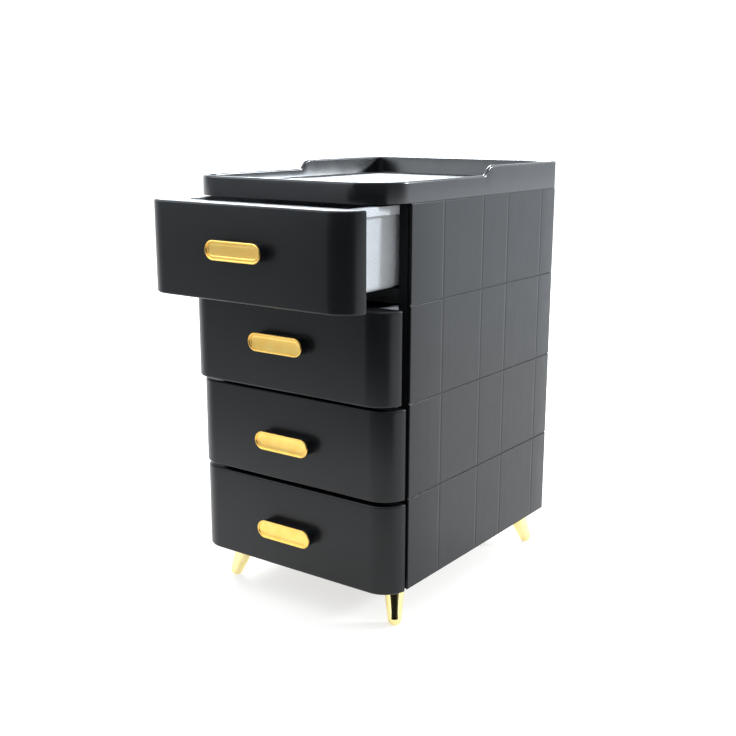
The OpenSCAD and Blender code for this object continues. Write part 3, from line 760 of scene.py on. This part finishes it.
def staged(name, points, faces, material):
    """A thing of the studio, no part of the object."""
    mesh = bpy.data.meshes.new(name)
    mesh.from_pydata(points, [], faces)
    mesh.materials.append(material)
    thing = bpy.data.objects.new(name, mesh)
    bpy.context.scene.collection.objects.link(thing)
    return thing


def pale_floor():
    """White translucent table, lit a little from below, so nothing standing on it throws a hard shadow."""
    material, tree, shader = blank("white_light_table", Roughness=0.8, Emission_Color=(1.0, 0.99, 0.97, 1.0),
                                   Emission_Strength=0.7)
    place = add(tree, "ShaderNodeTexCoord").outputs["Object"]
    tree.links.new(tinted(tree, place, TABLE_CLOUD_MM, "#AAA7A4", "#B0ADAA"), shader.inputs["Base Color"])
    corners = [(x * TABLE_HALF, y * TABLE_HALF, 0) for x, y in ((-1, -1), (1, -1), (1, 1), (-1, 1))]
    staged("floor", corners, [(0, 1, 2, 3)], material)


def glow_card(name, radius, low, high, start, end, foot, head):
    """A curved card from low to high and from one angle to another, which only reflections see."""
    material, tree, shader = blank(name, Base_Color=(0, 0, 0, 1), Roughness=1.0, Specular_IOR_Level=0.0,
                                   Emission_Color=(*COOL, 1.0))
    place = add(tree, "ShaderNodeTexCoord").outputs["Object"]
    rise = add(tree, "ShaderNodeSeparateXYZ", Vector=place).outputs["Z"]
    glow = add(tree, "ShaderNodeMapRange", Value=rise, From_Min=0.0, From_Max=GLOW_RISE,
               To_Min=foot, To_Max=head)
    tree.links.new(glow.outputs["Result"], shader.inputs["Emission Strength"])
    ring = arc(CARD_MIDDLE, radius, start, end, 24)
    points, faces = loft([[(x, y, z) for x, y in ring] for z in (low, high)], False, False)
    card = staged(name, points, faces, material)
    card.visible_camera = card.visible_diffuse = card.visible_shadow = False
    return card


def soft_light(name, place, aim, size, power):
    """A square soft box at a place, turned to face its aim."""
    data = bpy.data.lights.new(name, "AREA")
    data.shape, data.size, data.energy, data.color = "SQUARE", size, power, COOL
    lamp = bpy.data.objects.new(name, data)
    lamp.location = place
    lamp.rotation_mode = "QUATERNION"
    lamp.rotation_quaternion = (Vector(aim) - Vector(place)).to_track_quat("-Z", "Y")
    bpy.context.scene.collection.objects.link(lamp)


def studio_world(front, rear, above):
    """A soft room, dim in front of the object, brighter behind it and bright above."""
    world = bpy.data.worlds.new("studio")
    world.use_nodes = True
    tree = world.node_tree
    way = add(tree, "ShaderNodeTexCoord").outputs["Generated"]
    behind = add(tree, "ShaderNodeVectorMath", {"operation": "DOT_PRODUCT"}, i0=way, i1=REAR_WAY)
    around = add(tree, "ShaderNodeMapRange", {"interpolation_type": "SMOOTHSTEP"},
                 Value=behind.outputs["Value"], From_Min=0.0, From_Max=0.9, To_Min=front, To_Max=rear)
    height = add(tree, "ShaderNodeSeparateXYZ", Vector=way).outputs["Z"]
    overhead = add(tree, "ShaderNodeMapRange", {"interpolation_type": "SMOOTHSTEP"}, Value=height,
                   From_Min=0.4, From_Max=0.75)
    level = add(tree, "ShaderNodeMix", i0=overhead.outputs["Result"], i2=around.outputs["Result"], i3=above)
    background = tree.nodes["Background"]
    background.inputs["Color"].default_value = (*COOL, 1)
    tree.links.new(level.outputs[0], background.inputs["Strength"])
    bpy.context.scene.world = world


def photo_camera():
    """The camera where the photograph was taken from, a little rolled."""
    back = Vector((math.sin(AZIMUTH) * math.cos(ELEVATION), -math.cos(AZIMUTH) * math.cos(ELEVATION),
                   math.sin(ELEVATION)))
    right = Vector((math.cos(AZIMUTH), math.sin(AZIMUTH), 0))
    up = back.cross(right)
    right, up = (right * math.cos(ROLL) + up * math.sin(ROLL),
                 up * math.cos(ROLL) - right * math.sin(ROLL))
    lens = bpy.data.cameras.new("camera")
    lens.sensor_width, lens.lens = SENSOR_W, CAMERA_LENS
    camera = bpy.data.objects.new("camera", lens)
    turn = Matrix((right, up, back)).transposed().to_4x4()
    camera.matrix_world = Matrix.Translation(CAMERA_PLACE) @ turn
    bpy.context.scene.collection.objects.link(camera)
    bpy.context.scene.camera = camera


pale_floor()
# what the fronts mirror: a grey room, a bright strip above it, and black where their corners turn
glow_card("grey_card", NEAR_R, 0.0, NEAR_TOP, -166.0, -118.0, foot=1.02, head=0.64)
glow_card("white_card", NEAR_R, 0.37, 0.6, -166.0, -100.0, foot=3.5, head=3.5)
glow_card("dim_card", NEAR_R, 0.0, NEAR_TOP, -118.0, -111.0, foot=0.5, head=0.3)
glow_card("black_card", NEAR_R, 0.02, NEAR_TOP, -111.0, -15.0, foot=0.01, head=0.01)
# what the camera sees beyond the table
backdrop = glow_card("white_backdrop", 8.5, 0.0, 8.0, 0.0, 360.0, foot=1.1, head=1.1)
backdrop.visible_camera, backdrop.visible_glossy, backdrop.visible_transmission = True, False, False
# what the right side walls mirror
glow_card("side_card", 1.2, 0.0, 0.3, 40.0, 80.0, foot=2.1, head=2.1)
soft_light("key_right_rear", (3.2, 3.55, 1.9), aim=(0.05, -0.05, 0.2), size=0.6, power=240)
soft_light("rim_left_rear", (-1.1, 1.3, 1.3), aim=(0, 0, 0.25), size=0.8, power=48)
soft_light("top_soft", (-0.4, -0.4, 1.4), aim=(-0.1, -0.1, 0.0), size=0.9, power=5)
studio_world(front=0.16, rear=1.9, above=1.5)
bpy.context.scene.view_settings.view_transform = "Standard"
photo_camera()
